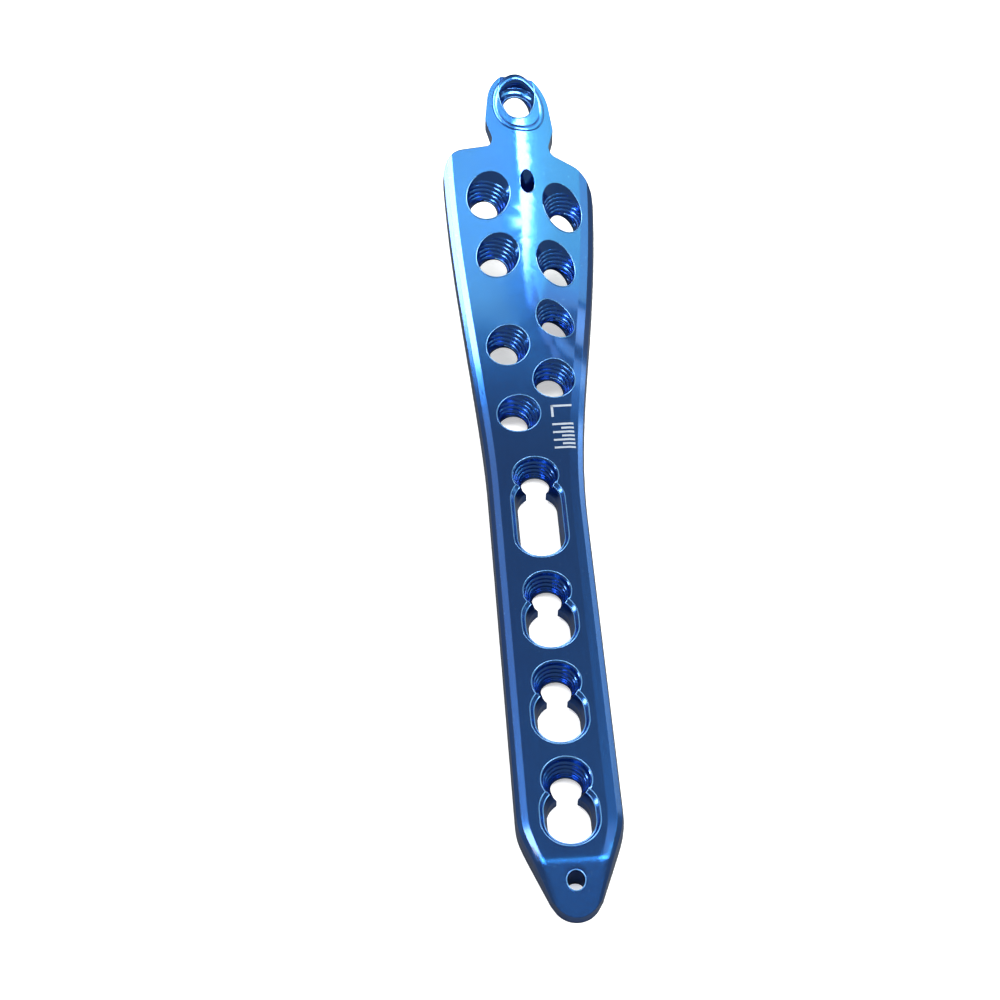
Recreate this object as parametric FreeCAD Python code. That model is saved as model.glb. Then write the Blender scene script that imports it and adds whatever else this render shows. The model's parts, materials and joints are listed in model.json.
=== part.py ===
import FreeCAD, Part
import math
import os

os.makedirs("parts", exist_ok=True)

# A left-side locking bone plate for the inner face of the lower shin bone.
# It is milled from one titanium bar: a straight shaft with combination holes,
# a flared head that bends up and rolls over to one side, and a small tab.
# X runs across the plate, +Y from the tip to the head, +Z away from the bone.

# Shaft
shaft_width = 12.2
shaft_thickness = 3.8
shaft_hollow = 0.5          # how far the bone side is hollowed across its middle
left_round = 1.4            # width of the rounded band along the left top edge
right_round = 1.9           # width of the band along the right top edge
foot_round = 0.5            # width of the break along the edges on the bone side
band_share = 0.45           # share of the thickness that the top bands take
band_facets = 3             # strips that make up the round of each band

# Bullet tip
tip_taper_start = 10.0      # where the flanks begin to run together
tip_flank_angle = 22.0
tip_slope_start = 5.8       # where the flat top ends and the tip falls away
tip_nose_thickness = 1.3
nose_radius = 2.8

# Head outline
head_left = 9.2             # shaft axis to the left edge of the head
head_right = 11.35          # shaft axis to the right edge of the head
left_flare_start = 58.0
right_flare_start = 54.0
head_end = 105.6            # far edge of the head, where the tab begins
head_end_fall = 3.0         # degrees by which the far edge falls off to its corners
head_corner_radius = 3.0
head_thickness = 2.9
head_thins_from = 62.0
head_thins_over = 20.0
corner_lead = 12.0          # degrees between an end outline and the flank it meets

# Upward bend of the head: a short bend, a long bend, then straight
bend_start = 63.5
first_bend_radius = 50.0
first_bend_angle = 14.0
second_bend_radius = 110.0
second_bend_angle = 14.0

# Roll of the head: right of a soft ridge the top falls away to the side
ridge_x = 2.1               # shaft axis to the ridge on the head
ridge_start_x = 6.6         # where the ridge rises out of the right band
roll_start = 68.0
roll_full = 88.0
roll_angle = 32.0

# Tab with its eyelet
tab_x = 1.55                # shaft axis to the middle of the tab
tab_thickness = 2.0
tab_length = 8.8            # from the far edge of the head to the top of the eyelet
eyelet_radius = 3.65
barb_half_width = 4.6
barb_from_end = 3.2         # from the far edge of the head up to the barbs
barb_round = 0.35
neck_half_width = 3.5
neck_round = 0.9

# Locking holes: a tapered thread seat that runs into a plain core
core_radius = 1.95
seat_radius = 2.75          # at the plate's top face
shaft_seat_depth = 2.1
head_seat_depth = 1.6
eyelet_seat_depth = 0.8     # shorter, for the thin tab
seat_rise = 2.5             # how far the taper runs on above a mouth in a sloping face
screw_lean = 10.0           # degrees by which the head screws lean to the right
rim_break = 0.18            # small chamfer round each mouth in the flat shaft

# Wire holes
wire_radius = 1.05
head_wire_x = 2.15
head_wire_y = 101.2
head_wire_lean = 24.0       # degrees by which it leans towards the tab
tip_wire_y = 3.7

# Combination holes: a locking lobe towards the head, a sliding lobe towards the tip
combi_first = 12.9          # from the tip to the middle of the last combination hole
combi_pitch = 13.0
combi_count = 3
lock_offset = 2.95          # middle of the hole to its locking lobe
slide_offset = 2.1          # middle of the hole to the tip end of the sliding lobe
slide_travel = 1.3
slide_radius = 2.95         # the sliding lobe where it meets the rim
slide_slot_radius = 2.5     # half the width of the slot below it
slide_depth = 1.9
slide_rim = 0.45            # wide chamfer of the sliding lobe

# Long hole
long_y = 54.7
long_lock_offset = 5.0
long_slide_offset = 4.5
long_slide_travel = 5.8

# Undercuts across the bone side of the shaft, between its holes
undercut_radius = 5.0
undercut_depth = 0.7

# Head locking holes, each by its mouth: distance right of the shaft axis, distance from the tip
left_row = [(-3.6, 98.6), (-2.8, 91.1), (-2.3, 79.1), (-1.6, 69.4)]
right_row = [(7.2, 98.6), (5.7, 91.0), (4.8, 83.2), (3.4, 74.2)]

columns = 9                 # spans across each face of the plate
row_length = 2.2            # length of one span along it
past_end = 2.5              # how far the bar runs past the finished ends
tall = 40.0                 # reach of the cutting tools
wide = 14.0                 # half width of the end outlines where they clear the bar


def ease(value):
    t = min(max(value, 0.0), 1.0)
    return t * t * (3.0 - 2.0 * t)


def between(y, start, end, first, last):
    return first + (last - first) * ease((y - start) / (end - start))


def vector(x, y, z=0.0):
    return FreeCAD.Vector(x, y, z)


def tan(degrees):
    return math.tan(math.radians(degrees))


# Form of the plate

def taper(y):
    return max(0.0, tip_taper_start - y) * tan(tip_flank_angle)


def left_edge(y):
    half = between(y, left_flare_start, head_end, shaft_width / 2, head_left)
    return -half + taper(y)


def right_edge(y):
    half = between(y, right_flare_start, head_end, shaft_width / 2, head_right)
    return half - taper(y)


def bend(y):
    """Height gained by the bend at y, and its slope there as a tangent."""
    first = math.radians(first_bend_angle)
    full = math.radians(first_bend_angle + second_bend_angle)
    first_end = bend_start + first_bend_radius * math.sin(first)
    second_end = first_end + second_bend_radius * (math.sin(full) - math.sin(first))
    if y <= bend_start:
        return 0.0, 0.0
    if y <= first_end:
        angle = math.asin((y - bend_start) / first_bend_radius)
        return first_bend_radius * (1.0 - math.cos(angle)), math.tan(angle)
    height = first_bend_radius * (1.0 - math.cos(first))
    if y <= second_end:
        angle = math.asin(math.sin(first) + (y - first_end) / second_bend_radius)
        return height + second_bend_radius * (math.cos(first) - math.cos(angle)), math.tan(angle)
    height += second_bend_radius * (math.cos(first) - math.cos(full))
    return height + (y - second_end) * math.tan(full), math.tan(full)


def roll(x, y):
    """Drop of the top face right of the ridge at x, y, and its side slope as a tangent."""
    slope = tan(between(y, roll_start, roll_full, 0.0, roll_angle))
    ridge = between(y, roll_start, roll_full, ridge_start_x, ridge_x)
    if x <= ridge:
        return 0.0, 0.0
    return slope * (x - ridge), slope


def thickness(y):
    body = between(y, head_thins_from, head_thins_from + head_thins_over, shaft_thickness, head_thickness)
    return between(y, head_end - barb_from_end, head_end + barb_from_end, body, tab_thickness)


def top_height(x, y):
    fall = max(0.0, tip_slope_start - y) * (shaft_thickness - tip_nose_thickness) / tip_slope_start
    return shaft_thickness + bend(y)[0] - roll(x, y)[0] - fall


def under_height(x, y):
    if y <= tip_slope_start:
        level = 0.0
    else:
        steep = math.sqrt(1.0 + bend(y)[1] ** 2 + roll(x, y)[1] ** 2)
        level = top_height(x, y) - thickness(y) * steep
    middle = (left_edge(y) + right_edge(y)) / 2
    half = (right_edge(y) - left_edge(y)) / 2
    hollow = shaft_hollow * ease((y - tip_slope_start) / tip_taper_start)
    return level + hollow * (1.0 - ((x - middle) / half) ** 2)


def side_rails(y, edge, inward, band):
    """Points down one side of the section at y, from its top face round to the bone side."""
    narrow = min(1.0, (right_edge(y) - left_edge(y)) / shaft_width)
    inner = edge + inward * band * narrow
    foot = edge + inward * foot_round * narrow
    corner = vector(edge, y, top_height(edge, y))
    under = under_height(edge, y)
    shoulder = vector(inner, y, top_height(inner, y))
    flank = vector(edge, y, corner.z - band_share * (corner.z - under))
    rails = []
    for i in range(band_facets + 1):
        t = i / band_facets
        rails.append(shoulder * (1 - t) ** 2 + corner * (2 * t * (1 - t)) + flank * t ** 2)
    return rails + [vector(edge, y, under + foot_round * narrow), vector(foot, y, under_height(foot, y))]


def left_rails(y):
    return side_rails(y, left_edge(y), 1.0, left_round)


def right_rails(y):
    return side_rails(y, right_edge(y), -1.0, right_round)


def across(y, rail, height):
    """Poles across a face at y, between the left and right rails with that number."""
    left, right = left_rails(y)[rail].x, right_rails(y)[rail].x
    steps = [left + (right - left) * i / columns for i in range(columns + 1)]
    return [vector(x, y, height(x, y)) for x in steps]


def face_surface(start, end, poles_at, degree):
    """A smooth face along the plate from start to end, straight wherever its poles are."""
    spans = max(3, round((end - start) / row_length))
    along = [start + (end - start) * i / spans for i in range(spans + 1)]
    full = [start] * 3 + along + [end] * 3
    rows = [sum(full[i + 1:i + 4]) / 3.0 for i in range(spans + 3)]
    poles = [list(line) for line in zip(*[poles_at(y) for y in rows])]
    breaks = list(range(len(poles) - degree + 1))
    surface = Part.BSplineSurface()
    surface.buildFromPolesMultsKnots(
        poles, [degree + 1] + [1] * (len(breaks) - 2) + [degree + 1],
        [4] + [1] * (spans - 1) + [4], breaks, along, False, False, degree, 3)
    return surface


def skin(start, end):
    """All the faces round the bar from start to end: top, bone side, bands and flanks."""
    surfaces = [face_surface(start, end, lambda y: across(y, 0, top_height), 2),
                face_surface(start, end, lambda y: across(y, -1, under_height), 2)]
    for rails in (left_rails, right_rails):
        for i in range(len(rails(start)) - 1):
            surfaces.append(face_surface(start, end, lambda y: rails(y)[i:i + 2], 1))
    return surfaces


def make_bar():
    """The bent and rolled bar, with its tip slope, before its ends are cut."""
    far = head_end + tab_length + past_end
    tip = skin(-past_end, tip_slope_start)
    body = skin(tip_slope_start, far)
    faces = [surface.toShape() for surface in tip + body]
    for surfaces, at in ((tip, -past_end), (body, far)):
        lines = Part.sortEdges([surface.vIso(at).toShape() for surface in surfaces])[0]
        faces.append(Part.Face(Part.Wire(lines)))
    shell = Part.makeShell(faces)
    shell.sewShape()
    bar = Part.makeSolid(shell)
    if bar.Volume < 0.0:
        bar.reverse()
    return bar


# Outline of the ends

def rounded_outline(corners):
    """A closed wire through corners (x, y, radius), each rounded by its radius."""
    edges = []
    joints = []
    count = len(corners)
    for i, (x, y, radius) in enumerate(corners):
        here = vector(x, y)
        before = (vector(*corners[i - 1][:2]) - here).normalize()
        after = (vector(*corners[(i + 1) % count][:2]) - here).normalize()
        half = before.getAngle(after) / 2.0
        reach = radius / math.tan(half)
        middle = here + (before + after).normalize() * (radius / math.sin(half) - radius)
        joints.append((here + before * reach, middle, here + after * reach, radius))
    for i, (start, middle, end, radius) in enumerate(joints):
        if radius > 0.0:
            edges.append(Part.Arc(start, middle, end).toShape())
        edges.append(Part.LineSegment(end, joints[(i + 1) % count][0]).toShape())
    return Part.Wire(edges)


def end_outline():
    lead = tan(corner_lead)
    nose_angle = math.radians(90.0 - tip_flank_angle - corner_lead)
    nose_apex = nose_radius - nose_radius / math.cos(nose_angle)
    nose_top = nose_apex + wide * math.tan(nose_angle)
    far = head_end + tab_length
    barb = head_end + barb_from_end
    fall = tan(head_end_fall)
    right_corner_y = head_end - (head_right - tab_x) * fall
    left_corner_y = head_end - (head_left + tab_x) * fall
    inset = head_corner_radius * lead
    right_run = (wide - head_right + inset) / lead
    left_run = (wide - head_left + inset) / lead
    return rounded_outline([
        (tab_x - eyelet_radius, far, eyelet_radius),
        (tab_x + eyelet_radius, far, eyelet_radius),
        (tab_x + barb_half_width, barb, barb_round),
        (tab_x + neck_half_width, head_end, neck_round),
        (head_right - inset, right_corner_y, head_corner_radius),
        (wide, right_corner_y - right_run, 0.0),
        (wide, nose_top, 0.0),
        (0.0, nose_apex, nose_radius),
        (-wide, nose_top, 0.0),
        (-wide, left_corner_y - left_run, 0.0),
        (-head_left + inset, left_corner_y, head_corner_radius),
        (tab_x - neck_half_width, head_end, neck_round),
        (tab_x - barb_half_width, barb, barb_round),
    ])


# Holes

def lean_axis(right, forward):
    return vector(tan(right), tan(forward), 1.0).normalize()


def drill(profile, base, axis):
    """A turned cutter with the profile of (radius, height) points, standing on base."""
    points = [vector(radius, 0.0, height) for radius, height in profile]
    wire = Part.makePolygon([vector(0.0, 0.0, profile[0][1])] + points
                            + [vector(0.0, 0.0, profile[-1][1]), vector(0.0, 0.0, profile[0][1])])
    cutter = Part.Face(wire).revolve(vector(0.0, 0.0), vector(0.0, 0.0, 1.0), 360.0)
    cutter.Placement = FreeCAD.Placement(base, FreeCAD.Rotation(vector(0.0, 0.0, 1.0), axis))
    return cutter


def shaft_lock_profile():
    return [(core_radius, -tall), (core_radius, -shaft_seat_depth), (seat_radius, -rim_break),
            (seat_radius + rim_break, 0.0), (seat_radius + rim_break, tall)]


def head_lock_profile(depth):
    mouth_radius = seat_radius + (seat_radius - core_radius) / depth * seat_rise
    return [(core_radius, -tall), (core_radius, -depth), (mouth_radius, seat_rise), (mouth_radius, tall)]


def on_top(x, y):
    return vector(x, y, top_height(x, y))


def head_locking_cutters():
    axis = lean_axis(screw_lean, 0.0)
    return [drill(head_lock_profile(head_seat_depth), on_top(x, y), axis) for x, y in left_row + right_row]


def eyelet_cutter():
    far = head_end + tab_length
    return drill(head_lock_profile(eyelet_seat_depth), on_top(tab_x, far - eyelet_radius),
                 lean_axis(screw_lean, 0.0))


def wire_cutters():
    head = drill([(wire_radius, -tall), (wire_radius, tall)], on_top(head_wire_x, head_wire_y),
                 lean_axis(screw_lean, head_wire_lean))
    tip = drill([(wire_radius, -tall), (wire_radius, tall)], on_top(0.0, tip_wire_y), lean_axis(0.0, 0.0))
    return [head, tip]


def oblong(radius, low, high, z):
    """An oblong wire along Y at height z, with end centres low and high."""
    sides = [vector(-radius, low, z), vector(-radius, high, z), vector(0.0, high + radius, z),
             vector(radius, high, z), vector(radius, low, z), vector(0.0, low - radius, z)]
    return Part.Wire([
        Part.LineSegment(sides[0], sides[1]).toShape(),
        Part.Arc(sides[1], sides[2], sides[3]).toShape(),
        Part.LineSegment(sides[3], sides[4]).toShape(),
        Part.Arc(sides[4], sides[5], sides[0]).toShape()])


def sliding_cutter(low, high):
    """The sliding lobe: a wide chamfer, a tapering seat and the slot through the plate."""
    levels = [(slide_slot_radius, -tall), (slide_slot_radius, shaft_thickness - slide_depth),
              (slide_radius, shaft_thickness - slide_rim), (slide_radius + slide_rim, shaft_thickness),
              (slide_radius + slide_rim, tall)]
    stages = []
    for (r_low, z_low), (r_high, z_high) in zip(levels, levels[1:]):
        stages.append(Part.makeLoft([oblong(r_low, low, high, z_low), oblong(r_high, low, high, z_high)],
                                    True, True))
    return stages[0].multiFuse(stages[1:])


def combination_cutters():
    cutters = []
    holes = [(combi_first + combi_pitch * i, lock_offset, slide_offset, slide_travel)
             for i in range(combi_count)]
    holes.append((long_y, long_lock_offset, long_slide_offset, long_slide_travel))
    for middle, lock, slide, travel in holes:
        cutters.append(drill(shaft_lock_profile(), vector(0.0, middle + lock, shaft_thickness),
                             lean_axis(0.0, 0.0)))
        cutters.append(sliding_cutter(middle - slide, middle - slide + travel))
    return cutters


def undercut_cutters():
    """Cylinders across the bone side, midway between the slots of neighbouring holes."""
    low_ends = [combi_first + combi_pitch * i - slide_offset - slide_slot_radius for i in range(combi_count)]
    high_ends = [combi_first + combi_pitch * i + lock_offset + core_radius for i in range(combi_count)]
    low_ends.append(long_y - long_slide_offset - slide_slot_radius)
    cutters = []
    for high, low in zip(high_ends, low_ends[1:]):
        cutters.append(Part.makeCylinder(undercut_radius, 2.0 * wide,
                                         vector(-wide, (high + low) / 2, undercut_depth - undercut_radius),
                                         vector(1.0, 0.0, 0.0)))
    return cutters


def cut_ends(bar):
    prism = Part.Face(end_outline()).extrude(vector(0.0, 0.0, 2.0 * tall))
    prism.translate(vector(0.0, 0.0, -tall / 2))
    return bar.common(prism)


bar = make_bar()
plate = cut_ends(bar)
plate = plate.cut(undercut_cutters())
plate = plate.cut(head_locking_cutters() + [eyelet_cutter()] + wire_cutters() + combination_cutters())
plate = plate.Solids[0]
box = plate.optimalBoundingBox(False, False)
plate.translate(vector(-(box.XMin + box.XMax) / 2, -(box.YMin + box.YMax) / 2, -box.ZMin))
print("bar", bar.isValid(), "plate", plate.isValid(), plate.ShapeType, len(plate.Faces), "faces, volume",
      round(plate.Volume, 1), "box", [round(v, 2) for v in (box.XLength, box.YLength, box.ZLength)],
      "centre of mass", [round(v, 2) for v in plate.CenterOfMass])
plate.exportStep("parts/bone_plate.step")
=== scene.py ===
import json
import math

import bpy
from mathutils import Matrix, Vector
from mathutils.bvhtree import BVHTree


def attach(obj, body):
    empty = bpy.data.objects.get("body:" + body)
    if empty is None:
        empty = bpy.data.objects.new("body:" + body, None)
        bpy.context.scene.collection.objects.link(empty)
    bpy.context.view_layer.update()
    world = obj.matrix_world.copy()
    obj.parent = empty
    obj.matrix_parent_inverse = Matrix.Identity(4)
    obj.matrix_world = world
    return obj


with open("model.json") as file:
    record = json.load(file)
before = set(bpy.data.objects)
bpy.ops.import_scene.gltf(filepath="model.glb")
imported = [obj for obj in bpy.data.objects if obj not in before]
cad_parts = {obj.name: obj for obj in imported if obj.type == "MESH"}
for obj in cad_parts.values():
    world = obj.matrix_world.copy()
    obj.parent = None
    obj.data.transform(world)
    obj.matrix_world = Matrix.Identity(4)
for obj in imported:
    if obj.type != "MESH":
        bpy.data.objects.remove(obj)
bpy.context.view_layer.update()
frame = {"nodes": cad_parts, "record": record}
scene = bpy.context.scene
scene.view_settings.view_transform = "Standard"


# Camera
# It stands at the tip end of the plate, looking down at it from the front and a little
# from the left, with the long lens that such a product photograph is taken with.

camera_place = (-0.0165, -0.1559, 0.2026)
camera_heading = math.radians(3.97)
camera_dip = math.radians(52.05)

camera_data = bpy.data.cameras.new("camera")
camera_data.sensor_width = 36.0
camera_data.lens = 73.0
camera_data.clip_start = 0.01
camera_data.dof.use_dof = False
camera = bpy.data.objects.new("camera", camera_data)
camera.location = camera_place
camera.rotation_euler = (math.pi / 2 - camera_dip, 0.0, -camera_heading)
scene.collection.objects.link(camera)
scene.camera = camera


# Table
# A white table under the plate. The plate's faces see it in a softer grey than the camera,
# as they do when the rest of the table is out of the light.

table_reach = 3.0
table_height = -0.00005               # a hair under the plate, so that the two don't flicker
table_white = (0.92, 0.92, 0.92, 1.0)
table_grey = (0.10, 0.105, 0.11, 1.0)
table_glow_level = 0.42               # for the camera alone

table_mesh = bpy.data.meshes.new("table_top")
table_mesh.from_pydata([(-table_reach, -table_reach, table_height),
                        (table_reach, -table_reach, table_height),
                        (table_reach, table_reach, table_height),
                        (-table_reach, table_reach, table_height)], [], [(0, 1, 2, 3)])
table = bpy.data.objects.new("table_top", table_mesh)
scene.collection.objects.link(table)

table_paint = bpy.data.materials.new("white_table")
table_paint.use_nodes = True
table_tree = table_paint.node_tree
table_shader = table_tree.nodes["Principled BSDF"]
table_shader.inputs["Roughness"].default_value = 0.7
table_shader.inputs["Specular IOR Level"].default_value = 0.0
table_shader.inputs["Emission Color"].default_value = (1.0, 1.0, 1.0, 1.0)
table_path = table_tree.nodes.new("ShaderNodeLightPath")
table_shade = table_tree.nodes.new("ShaderNodeMix")
table_shade.data_type = "RGBA"
table_shade.inputs["A"].default_value = table_grey
table_shade.inputs["B"].default_value = table_white
table_glow = table_tree.nodes.new("ShaderNodeMath")
table_glow.operation = "MULTIPLY"
table_glow.inputs[1].default_value = table_glow_level
table_tree.links.new(table_path.outputs["Is Camera Ray"], table_shade.inputs["Factor"])
table_tree.links.new(table_path.outputs["Is Camera Ray"], table_glow.inputs[0])
table_tree.links.new(table_shade.outputs["Result"], table_shader.inputs["Base Color"])
table_tree.links.new(table_glow.outputs["Value"], table_shader.inputs["Emission Strength"])
table.data.materials.append(table_paint)


# Light
# Soft panels hang in a dim room, each where one face of the plate reflects it to the camera.
# The white ones give the left band, the ridge and the corners of the tip their glare.

panel_height = 0.8
room_white = 1.0                      # as the camera sees the room
room_in_metal = 0.19                  # as polished metal mirrors it
room_on_faces = 0.62                  # as it lights everything else


def soft_panel(name, x, y, radiance, tint=(1.0, 1.0, 1.0)):
    """A lamp that faces down and reaches over a range of x and y."""
    lamp = bpy.data.lights.new(name, "AREA")
    lamp.shape = "RECTANGLE"
    lamp.size = x[1] - x[0]
    lamp.size_y = y[1] - y[0]
    lamp.energy = radiance * math.pi * lamp.size * lamp.size_y
    lamp.color = tint
    panel = bpy.data.objects.new(name, lamp)
    panel.location = ((x[0] + x[1]) / 2, (y[0] + y[1]) / 2, panel_height)
    panel.visible_camera = False
    scene.collection.objects.link(panel)
    return panel


soft_panel("panel_left_band", (-0.37, -0.17), (-0.24, 0.18), 12.0)
soft_panel("panel_left_face", (-0.14, 0.045), (-0.13, 0.12), 1.65, (0.62, 1.0, 0.62))
soft_panel("panel_ridge", (0.13, 0.88), (-0.17, 0.045), 14.0)
soft_panel("panel_below_ridge", (0.17, 0.55), (0.09, 0.36), 0.5)
soft_panel("panel_right_face", (0.93, 1.34), (-0.12, 0.36), 2.1, (0.50, 1.0, 0.64))
soft_panel("panel_right_mid", (0.55, 0.93), (0.07, 0.36), 1.6, (0.55, 1.0, 0.70))
soft_panel("panel_right_low", (0.50, 1.65), (0.36, 0.80), 0.85, (0.80, 1.0, 0.95))
soft_panel("panel_left_neck", (-0.46, -0.22), (0.36, 0.80), 0.55)
soft_panel("panel_tip_left", (-0.47, -0.34), (0.20, 0.33), 9.0)
soft_panel("panel_tip_right", (0.42, 0.54), (0.20, 0.33), 9.0)


def low_panel(name, place, width, height, radiance, tint=(1.0, 1.0, 1.0)):
    """A panel that stands at a place close above the table and faces the plate."""
    panel = soft_panel(name, (0.0, width), (0.0, height), radiance, tint)
    panel.location = place
    panel.rotation_euler = (-Vector(place)).to_track_quat("-Z", "Y").to_euler()


# These light the steep outer strips of the bands on either side.
low_panel("panel_left_strip", (-0.95, 0.20, 0.24), 0.18, 0.16, 11.0)
low_panel("panel_right_strip", (0.92, 0.20, 0.34), 0.36, 0.20, 1.2, (0.65, 1.0, 0.85))
low_panel("panel_right_neck", (0.76, 0.62, 0.24), 0.40, 0.26, 1.2, (0.85, 1.0, 0.95))
low_panel("panel_right_flank", (0.97, 0.70, 0.10), 0.50, 0.19, 1.2, (0.80, 1.0, 0.95))

world = bpy.data.worlds.new("dim_room")
scene.world = world
world.use_nodes = True
room = world.node_tree
room_light = room.nodes["Background"]
room_path = room.nodes.new("ShaderNodeLightPath")
room_level = room.nodes.new("ShaderNodeMix")
room_level.inputs["A"].default_value = room_on_faces
room_level.inputs["B"].default_value = room_in_metal
room_camera = room.nodes.new("ShaderNodeMix")
room_camera.inputs["B"].default_value = room_white
room_light.inputs["Color"].default_value = (1.0, 1.0, 1.0, 1.0)
room.links.new(room_path.outputs["Is Glossy Ray"], room_level.inputs["Factor"])
room.links.new(room_path.outputs["Is Camera Ray"], room_camera.inputs["Factor"])
room.links.new(room_level.outputs["Result"], room_camera.inputs["A"])
room.links.new(room_camera.outputs["Result"], room_light.inputs["Strength"])


# Bone plate
# One piece of titanium alloy, milled from bar, blasted lightly, brushed along its length
# and then anodised, which gives it the clear deep blue.

plate = frame["nodes"]["bone_plate"]
plate_blues = ((0.018, 0.140, 0.56, 1.0), (0.030, 0.200, 0.68, 1.0))
film_scale = 90.0                     # of the slow drift of the oxide film's colour
speck_blue = (0.16, 0.40, 0.86, 1.0)
brush_scale = (9000.0, 260.0, 9000.0)
grain_scale = 5200.0
speck_scale = 2100.0
crest_y = -0.0514                     # where the top face breaks down to the tip
crest_far, crest_near = 0.0022, 0.0010

# The colour of a finish drifts between two tones over the surface.
tone_drift = bpy.data.node_groups.new("tone_drift", "ShaderNodeTree")
tone_drift.interface.new_socket("Low", in_out="INPUT", socket_type="NodeSocketColor")
tone_drift.interface.new_socket("High", in_out="INPUT", socket_type="NodeSocketColor")
tone_drift.interface.new_socket("Scale", in_out="INPUT", socket_type="NodeSocketFloat")
tone_drift.interface.new_socket("Colour", in_out="OUTPUT", socket_type="NodeSocketColor")
drift_in = tone_drift.nodes.new("NodeGroupInput")
drift_out = tone_drift.nodes.new("NodeGroupOutput")
drift_place = tone_drift.nodes.new("ShaderNodeTexCoord")
drift_noise = tone_drift.nodes.new("ShaderNodeTexNoise")
drift_noise.inputs["Detail"].default_value = 4.0
drift_mix = tone_drift.nodes.new("ShaderNodeMix")
drift_mix.data_type = "RGBA"
tone_drift.links.new(drift_place.outputs["Object"], drift_noise.inputs["Vector"])
tone_drift.links.new(drift_in.outputs["Scale"], drift_noise.inputs["Scale"])
tone_drift.links.new(drift_noise.outputs["Fac"], drift_mix.inputs["Factor"])
tone_drift.links.new(drift_in.outputs["Low"], drift_mix.inputs["A"])
tone_drift.links.new(drift_in.outputs["High"], drift_mix.inputs["B"])
tone_drift.links.new(drift_mix.outputs["Result"], drift_out.inputs["Colour"])


def drifting_finish(name, tones, scale):
    """A finish whose colour drifts between two tones: its material, shader and colour node."""
    finish = bpy.data.materials.new(name)
    finish.use_nodes = True
    drift = finish.node_tree.nodes.new("ShaderNodeGroup")
    drift.node_tree = tone_drift
    drift.inputs["Low"].default_value = tones[0]
    drift.inputs["High"].default_value = tones[1]
    drift.inputs["Scale"].default_value = scale
    shader = finish.node_tree.nodes["Principled BSDF"]
    finish.node_tree.links.new(drift.outputs["Colour"], shader.inputs["Base Color"])
    return finish, shader, drift


def anodised(name, blues):
    """Titanium under a clear oxide film: its material, shader and colour node."""
    finish, shader, drift = drifting_finish(name, blues, film_scale)
    shader.inputs["Metallic"].default_value = 1.0
    shader.inputs["Coat Weight"].default_value = 1.0
    shader.inputs["Coat IOR"].default_value = 1.6
    shader.inputs["Coat Roughness"].default_value = 0.12
    return finish, shader, drift


plate_metal, plate_shader, plate_film = anodised("blue_anodised_titanium", plate_blues)
plate_tree = plate_metal.node_tree
plate_place = plate_tree.nodes.new("ShaderNodeTexCoord")

# Brushing and grain, which stand in the surface and in its shine.
brush_stretch = plate_tree.nodes.new("ShaderNodeMapping")
brush_stretch.inputs["Scale"].default_value = brush_scale
brush_noise = plate_tree.nodes.new("ShaderNodeTexNoise")
brush_noise.inputs["Scale"].default_value = 1.0
brush_noise.inputs["Detail"].default_value = 3.0
grain_noise = plate_tree.nodes.new("ShaderNodeTexNoise")
grain_noise.inputs["Scale"].default_value = grain_scale
grain_noise.inputs["Detail"].default_value = 3.0
relief = plate_tree.nodes.new("ShaderNodeMix")
relief.inputs["Factor"].default_value = 0.5
shine = plate_tree.nodes.new("ShaderNodeMapRange")
shine.inputs["From Min"].default_value = 0.3
shine.inputs["From Max"].default_value = 0.7
shine.inputs["To Min"].default_value = 0.17
shine.inputs["To Max"].default_value = 0.26
plate_tree.links.new(plate_place.outputs["Object"], brush_stretch.inputs["Vector"])
plate_tree.links.new(brush_stretch.outputs["Vector"], brush_noise.inputs["Vector"])
plate_tree.links.new(plate_place.outputs["Object"], grain_noise.inputs["Vector"])
plate_tree.links.new(brush_noise.outputs["Fac"], relief.inputs["A"])
plate_tree.links.new(grain_noise.outputs["Fac"], relief.inputs["B"])
plate_tree.links.new(relief.outputs["Result"], shine.inputs["Value"])
plate_tree.links.new(shine.outputs["Result"], plate_shader.inputs["Roughness"])

# Edges a little soft all over, and a rounder one where the top breaks down to the tip.
soft_edge = plate_tree.nodes.new("ShaderNodeBevel")
soft_edge.samples = 4
soft_edge.inputs["Radius"].default_value = 0.00016
crest_edge = plate_tree.nodes.new("ShaderNodeBevel")
crest_edge.samples = 8
crest_edge.inputs["Radius"].default_value = 0.0009
crest_split = plate_tree.nodes.new("ShaderNodeSeparateXYZ")
from_crest = plate_tree.nodes.new("ShaderNodeMath")
from_crest.operation = "ADD"
from_crest.inputs[1].default_value = -crest_y
crest_distance = plate_tree.nodes.new("ShaderNodeMath")
crest_distance.operation = "ABSOLUTE"
crest_mask = plate_tree.nodes.new("ShaderNodeMapRange")
crest_mask.inputs["From Min"].default_value = crest_far
crest_mask.inputs["From Max"].default_value = crest_near
worn_edges = plate_tree.nodes.new("ShaderNodeMix")
worn_edges.data_type = "VECTOR"
bump = plate_tree.nodes.new("ShaderNodeBump")
bump.inputs["Strength"].default_value = 0.12
bump.inputs["Distance"].default_value = 0.00004
plate_tree.links.new(plate_place.outputs["Object"], crest_split.inputs["Vector"])
plate_tree.links.new(crest_split.outputs["Y"], from_crest.inputs[0])
plate_tree.links.new(from_crest.outputs["Value"], crest_distance.inputs[0])
plate_tree.links.new(crest_distance.outputs["Value"], crest_mask.inputs["Value"])
plate_tree.links.new(crest_mask.outputs["Result"], worn_edges.inputs["Factor"])
plate_tree.links.new(soft_edge.outputs["Normal"], worn_edges.inputs["A"])
plate_tree.links.new(crest_edge.outputs["Normal"], worn_edges.inputs["B"])
plate_tree.links.new(worn_edges.outputs["Result"], bump.inputs["Normal"])
plate_tree.links.new(relief.outputs["Result"], bump.inputs["Height"])
plate_tree.links.new(bump.outputs["Normal"], plate_shader.inputs["Normal"])

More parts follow.
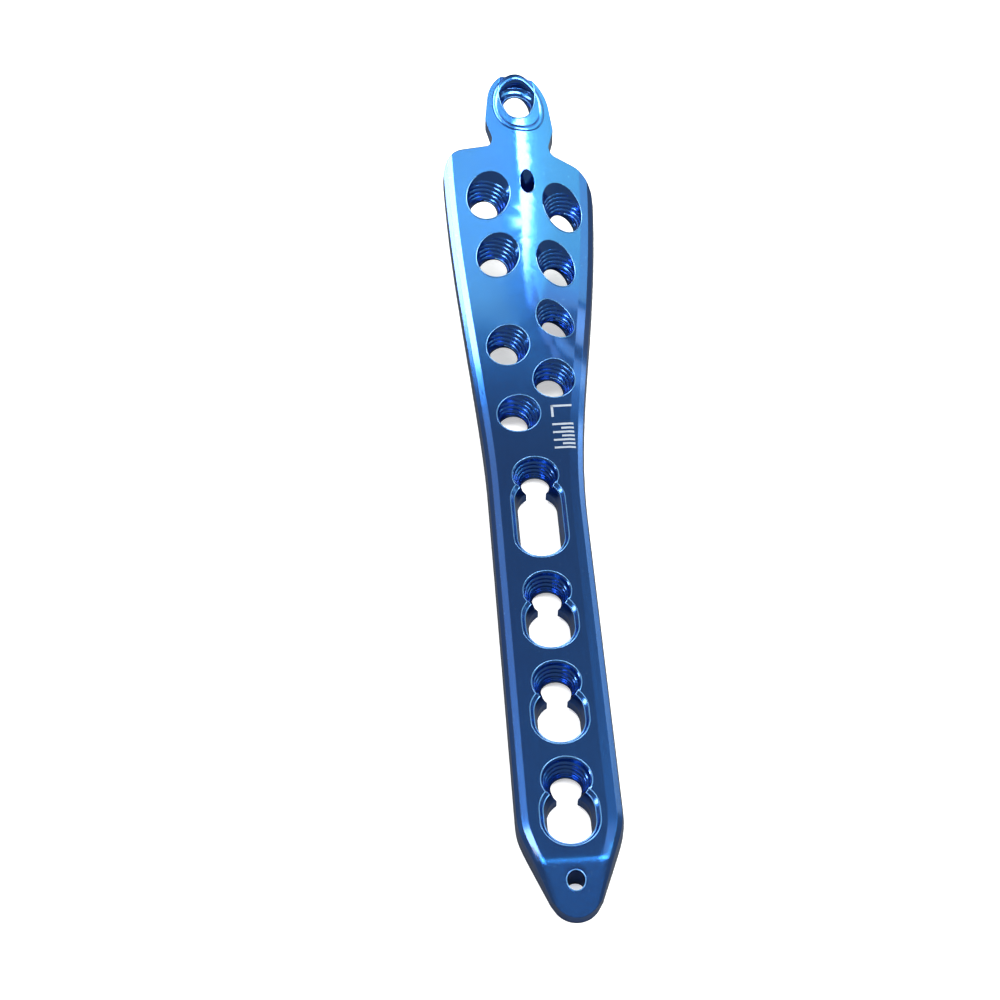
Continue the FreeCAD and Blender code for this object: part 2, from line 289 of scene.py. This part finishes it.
# Small pale specks that the blasting leaves.
speck_noise = plate_tree.nodes.new("ShaderNodeTexNoise")
speck_noise.inputs["Scale"].default_value = speck_scale
speck_noise.inputs["Detail"].default_value = 1.0
speck_mask = plate_tree.nodes.new("ShaderNodeMapRange")
speck_mask.inputs["From Min"].default_value = 0.70
speck_mask.inputs["From Max"].default_value = 0.78
speck_mask.inputs["To Max"].default_value = 0.35
specked = plate_tree.nodes.new("ShaderNodeMix")
specked.data_type = "RGBA"
specked.inputs["B"].default_value = speck_blue
plate_tree.links.new(plate_place.outputs["Object"], speck_noise.inputs["Vector"])
plate_tree.links.new(speck_noise.outputs["Fac"], speck_mask.inputs["Value"])
plate_tree.links.new(speck_mask.outputs["Result"], specked.inputs["Factor"])
plate_tree.links.new(plate_film.outputs["Colour"], specked.inputs["A"])
plate_tree.links.new(specked.outputs["Result"], plate_shader.inputs["Base Color"])
plate.data.materials.clear()
plate.data.materials.append(plate_metal)


# Rims
# The fine break on the edge of every hole, cut after the drilling and anodised with the
# rest. It is too narrow for the plate's form, and a thin bead stands for it. The bead's
# paler blue is a painted highlight: it shows the break as a bright thin line along each
# edge that the top face ends at.

# painted highlight: blues paler than the plate's, for the light the rounded rim catches
rim_highlight_blues = ((0.12, 0.36, 0.80, 1.0), (0.20, 0.48, 0.92, 1.0))
rim_radius = 0.000085
rim_sides = 6
rim_angle = math.radians(24.0)        # least turn between two faces that counts as an edge
upper_face_rise = 0.45                # least upward share of the normal on an edge's top side
lower_face_rise = -0.3                # and on its side in the hole
mouth_reach = 0.00345                 # from a locking hole's axis to the far side of its mouth
wire_mouth_reach = 0.0014             # from a wire hole's axis
shaft_mouth_reach = 0.0036            # from the shaft's axis
shaft_holes_start = -0.0502
shaft_holes_end = 0.0062              # past the last mouth in the straight shaft
micrometres = 1e6                     # in a metre, to tell corners apart
mounts = frame["record"]["mounts"]
mount_places = {mount["name"]: Vector(mount["pos_m"]) for mount in mounts}


def swept(name, runs, material, closed):
    """A piece of one or more runs of rings of points, each joined along, and round if closed."""
    points = []
    faces = []
    for rings in runs:
        first, count = len(points), len(rings[0])
        points.extend(point for ring in rings for point in ring)
        for i in range(len(rings) - 1):
            here, there = first + i * count, first + (i + 1) * count
            for k in range(count if closed else count - 1):
                after = (k + 1) % count
                faces.append((here + k, here + after, there + after, there + k))
    mesh = bpy.data.meshes.new(name)
    mesh.from_pydata(points, [], faces)
    mesh.materials.append(material)
    for face in mesh.polygons:
        face.use_smooth = True
    piece = bpy.data.objects.new(name, mesh)
    scene.collection.objects.link(piece)
    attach(piece, "root")
    return piece


def corner_key(point):
    return tuple(round(value * micrometres) for value in point)


def near_mouth(point):
    """Whether a point lies on the mouth of a shaft hole or a wire hole, and not on the outline."""
    shaft_x = mount_places["shaft_lock_1"].x
    if (shaft_holes_start < point.y < shaft_holes_end
            and abs(point.x - shaft_x) < shaft_mouth_reach):
        return True
    return any((point - mount_places[name]).xy.length < wire_mouth_reach
               for name in ("head_wire_hole", "tip_wire_hole"))


def on_leaning_mouth(point):
    """Whether a point lies on the mouth of a locking hole in the head or the tab."""
    for mount in mounts:
        family = mount["name"].split("_")[0]
        if mount["kind"] == "threaded_hole" and family in ("head", "tab"):
            away = point - Vector(mount["pos_m"])
            axis = Vector(mount["axis"]).normalized()
            if (away - axis * away.dot(axis)).length < mouth_reach:
                return True
    return False


def mouth_edges():
    """The edges that bound a hole in the top face as pairs of keys, and each key's place."""
    sides = {}
    places = {}
    for face in plate.data.polygons:
        points = [plate.matrix_world @ plate.data.vertices[i].co for i in face.vertices]
        for here, there in zip(points, points[1:] + points[:1]):
            pair = tuple(sorted((corner_key(here), corner_key(there))))
            places[corner_key(here)] = here
            places[corner_key(there)] = there
            sides.setdefault(pair, []).append(face.normal.copy())
    found = []
    for (here, there), normals in sides.items():
        if len(normals) != 2 or normals[0].angle(normals[1], 0.0) < rim_angle:
            continue
        rises = sorted(normal.z for normal in normals)
        if rises[1] < upper_face_rise or rises[0] < lower_face_rise:
            continue
        middle = (places[here] + places[there]) / 2
        if near_mouth(middle) or on_leaning_mouth(middle):
            found.append((here, there))
    return found, places


def chains(pairs):
    """Edges joined end to end into rows of corners."""
    ways = {}
    for here, there in pairs:
        ways.setdefault(here, set()).add(there)
        ways.setdefault(there, set()).add(here)
    rows = []
    ends = [key for key in ways if len(ways[key]) != 2]
    for start in ends + list(ways):
        while ways[start]:
            row = [start]
            while ways[row[-1]]:
                after = min(ways[row[-1]])
                ways[row[-1]].discard(after)
                ways[after].discard(row[-1])
                row.append(after)
                if len(ways[after]) != 1:
                    break
            rows.append(row)
    return rows


def bead(points, radius):
    """Rings of points round a row of points."""
    rings = []
    turns = [2.0 * math.pi * k / rim_sides for k in range(rim_sides)]
    for i, point in enumerate(points):
        along = (points[min(i + 1, len(points) - 1)] - points[max(i - 1, 0)]).normalized()
        if points[0] == points[-1] and i in (0, len(points) - 1):
            along = (points[1] - points[-2]).normalized()
        side = along.cross(Vector((0.0, 0.0, 1.0))).normalized()
        up = side.cross(along)
        rings.append([point + (side * math.cos(turn) + up * math.sin(turn)) * radius
                      for turn in turns])
    return rings


# the rim's finish carries the painted highlight in its paler blue
rim_highlight_metal, rim_shader, _ = anodised("rim_painted_highlight", rim_highlight_blues)
rim_shader.inputs["Roughness"].default_value = 0.34
rim_edges, rim_places = mouth_edges()
rim_rows = [[rim_places[key] for key in row] for row in chains(rim_edges)]
swept("rim_beads", [bead(row, rim_radius) for row in rim_rows if len(row) > 2], rim_highlight_metal, True)


# Eyelet
# The eyelet on the tab carries its thread in a low collar of the same titanium, turned
# with the tab. It closes the eyelet all round, also at its far end, where the tapered
# seat would otherwise break out through the tab's edge.

eyelet_middle = Vector((0.000484, 0.05355))
collar_inner = 0.00272
collar_outer = 0.00364
collar_proud = 0.00003
collar_break = 0.00012                # at its outer edge
collar_lip = (0.00014, 0.00010)       # width and depth of the break at the thread
collar_skirt = 0.00115                # how deep it reaches outside
collar_wall = 0.00155                 # and inside
collar_steps = 96
collar_section = [(collar_outer, -collar_skirt), (collar_outer, -collar_break),
                  (collar_outer - collar_break, collar_proud),
                  (collar_inner + collar_lip[0], collar_proud),
                  (collar_inner, -collar_lip[1]), (collar_inner, -collar_wall)]
tab_level = 0.0499                    # a place on the tab where its top face is whole
tab_slope = math.tan(math.radians(28.0))
ray_height = 0.1                      # above all of the plate

plate_form = BVHTree.FromPolygons(
    [plate.matrix_world @ vertex.co for vertex in plate.data.vertices],
    [list(face.vertices) for face in plate.data.polygons])


def top_face_at(x, y):
    """The place and normal of the plate's top face at x, y."""
    hit = plate_form.ray_cast(Vector((x, y, ray_height)), Vector((0.0, 0.0, -1.0)))
    return hit[0], hit[1]


collar_rings = []
for i in range(collar_steps + 1):
    turn = 2.0 * math.pi * i / collar_steps
    ring = []
    for radius, level in collar_section:
        x = eyelet_middle.x + radius * math.cos(turn)
        y = eyelet_middle.y + radius * math.sin(turn)
        tab_top = top_face_at(x, tab_level)[0].z + (y - tab_level) * tab_slope
        ring.append(Vector((x, y, tab_top + level)))
    collar_rings.append(ring)
swept("eyelet_collar", [collar_rings], plate_metal, True)


# Mark
# The side letter and a short row of ticks, etched pale into the neck by laser. They stand
# on the flat strip to the right of the last screw holes and read towards the tip.

mark_left = 0.0019
mark_right = 0.0043
mark_width = 0.00030
mark_proud = 0.000015
mark_step = 0.00015
letter_stem = 0.0132
letter_foot = 0.0117
first_tick = 0.0104
tick_pitch = 0.00062
tick_count = 7
tick_cut = 0.0011                     # off every second tick
mark_tones = ((0.26, 0.30, 0.38, 1.0), (0.50, 0.55, 0.64, 1.0))
mark_scale = 7000.0

mark_strokes = [((mark_left, letter_stem), (mark_right, letter_stem)),
                ((mark_left, letter_stem), (mark_left, letter_foot))]
for i in range(tick_count):
    tick = first_tick - tick_pitch * i
    mark_strokes.append(((mark_left + tick_cut * (i % 2), tick), (mark_right, tick)))


def on_plate(x, y):
    """The point of the plate's top face at x, y, raised by the mark's height."""
    place, normal = top_face_at(x, y)
    return place + normal * mark_proud


def stroke(start, end):
    """A straight stroke that lies on the plate, as pairs of points along it."""
    start, end = Vector(start), Vector(end)
    along = (end - start).normalized()
    side = Vector((-along.y, along.x)) * mark_width / 2
    start, end = start - along * mark_width / 2, end + along * mark_width / 2
    count = max(2, round((end - start).length / mark_step))
    pairs = []
    for i in range(count + 1):
        middle = start + (end - start) * i / count
        pairs.append([on_plate(*(middle - side)), on_plate(*(middle + side))])
    return pairs


mark_finish, mark_shader, _ = drifting_finish("laser_etching", mark_tones, mark_scale)
mark_shader.inputs["Metallic"].default_value = 0.3
mark_shader.inputs["Roughness"].default_value = 0.6
swept("side_mark", [stroke(start, end) for start, end in mark_strokes], mark_finish, False)


# Threads
# Each locking hole is tapped with a fine thread that runs down its tapered seat into the
# plain core. The thread is a ridge wound round the wall, cut off where a slot opens it.

thread_pitch = 0.00050
thread_height = 0.00016
thread_root = 0.00004                 # how far its foot lies inside the wall
thread_end = 0.00025                  # from its last turn to the mouth and to the bone side
thread_foot = 0.42                    # half the width of its foot, in pitches
thread_crest = 0.16                   # the width of its crest, as a share of its foot
thread_over = 0.001                   # how far a mouth in a sloping face may reach up
turn_steps = 72
fade_steps = 7                        # over which its ends run out
shortest_run = 4                      # in rings
seat_widening = 0.0008                # from the core's radius to the seat's at the mouth
shaft_seat = 0.00192
seat_depths = {"head": 0.0016, "tab": 0.0008, "long": shaft_seat, "shaft": shaft_seat}
wall_slack = 0.00005                  # between a hole's form and the wall that is met
millimetres = 1000.0                  # in a metre


class Hole:
    """A locking hole: its axis, its plain core and the tapered seat above it."""

    def __init__(self, mount):
        seat_depth = seat_depths[mount["name"].split("_")[0]]
        self.name = mount["name"]
        self.axis = Vector(mount["axis"]).normalized()
        self.middle = Vector(mount["pos_m"])
        self.core = mount["dims"]["r_mm"] / millimetres
        self.taper = seat_widening / seat_depth
        self.seat_start = mount["dims"]["length_mm"] / 2 / millimetres
        self.mouth = self.seat_start + seat_depth
        self.low = -self.seat_start
        self.side = Vector((0.0, 1.0, 0.0)).cross(self.axis).normalized()
        self.front = self.axis.cross(self.side)

    def radius(self, level):
        return self.core + max(0.0, level - self.seat_start) * self.taper

    def outward(self, angle):
        return self.side * math.cos(angle) + self.front * math.sin(angle)

    def point(self, angle, level, inward):
        out = self.outward(angle) * (self.radius(level) - inward)
        return self.middle + self.axis * level + out

    def has_wall(self, angle, level):
        hit = plate_form.ray_cast(self.middle + self.axis * level, self.outward(angle))
        return hit[3] is not None and abs(hit[3] - self.radius(level)) < wall_slack


def faded(present, reach):
    """Shares from 0 to 1 that rise over a number of steps from each gap in a row of flags."""
    shares = [float(flag) for flag in present]
    for order in (range(len(shares)), range(len(shares) - 1, -1, -1)):
        last = 0.0
        for i in order:
            last = min(shares[i], last + 1.0 / reach)
            shares[i] = last
    return shares


def wound_ridge(hole):
    """Runs of four-point rings that follow the thread of a hole wherever it has a wall."""
    steps = int((hole.mouth + thread_over - hole.low) / thread_pitch * turn_steps)
    half = thread_pitch * thread_foot
    path = [(2.0 * math.pi * i / turn_steps, hole.low + thread_pitch * i / turn_steps)
            for i in range(steps)]
    present = [all(hole.has_wall(angle, level + side * thread_end) for side in (-1.0, 0.0, 1.0))
               for angle, level in path]
    runs = [[]]
    for (angle, level), share in zip(path, faded(present, fade_steps)):
        if share == 0.0:
            if runs[-1]:
                runs.append([])
            continue
        crest = (thread_height + thread_root) * share - thread_root
        runs[-1].append([hole.point(angle, level - half, -thread_root),
                         hole.point(angle, level - half * thread_crest, crest),
                         hole.point(angle, level + half * thread_crest, crest),
                         hole.point(angle, level + half, -thread_root)])
    return [run for run in runs if len(run) >= shortest_run]


locking_holes = [Hole(mount) for mount in mounts if mount["kind"] == "threaded_hole"]
for hole in locking_holes:
    swept("thread_" + hole.name, wound_ridge(hole), plate_metal, False)
